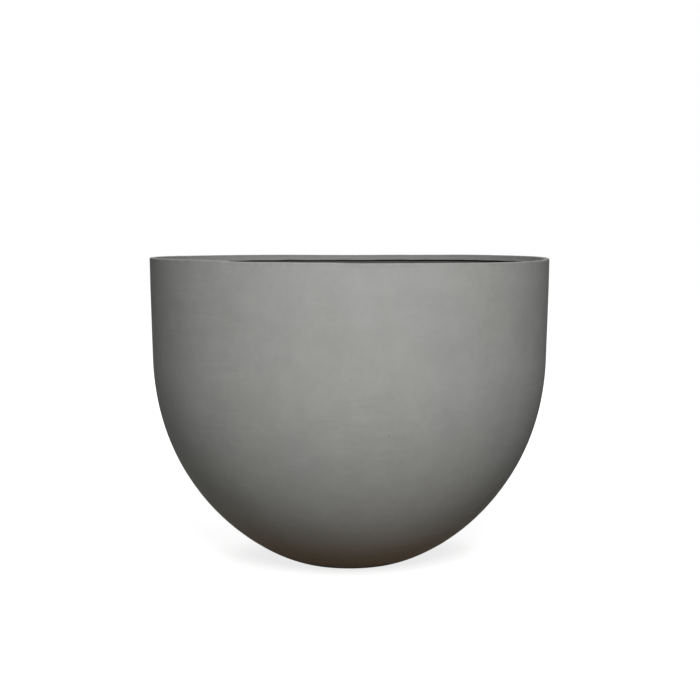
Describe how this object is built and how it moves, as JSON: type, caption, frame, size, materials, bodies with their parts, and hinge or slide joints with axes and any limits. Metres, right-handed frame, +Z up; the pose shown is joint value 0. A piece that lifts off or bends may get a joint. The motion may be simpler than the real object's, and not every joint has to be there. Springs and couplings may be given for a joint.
{
  "type": "bowl planter",
  "caption": "Round floor-standing bowl planter cast in plain grey concrete: upright upper wall, rounded belly, small flat base and a drain hole closed by a rubber plug.",
  "frame": {"origin": "centre of the base, on the plane of the foot ring that the planter stands on", "axes": "+Z up along the bowl's axis; the side that faces the picture's camera faces -Y"},
  "size_m": [0.6798, 0.6798, 0.518],
  "materials": {
    "concrete": "matte",
    "rubber": "matte"
  },
  "bodies": {
    "bowl": {"planter_bowl": "concrete"},
    "plug": {"drain_plug": "rubber"}
  },
  "joints": [
    {"name": "plug_lift", "type": "slide", "parent": "bowl", "child": "plug", "axis": [0, 0, 1], "range_m": [0, 0.53]}
  ]
}
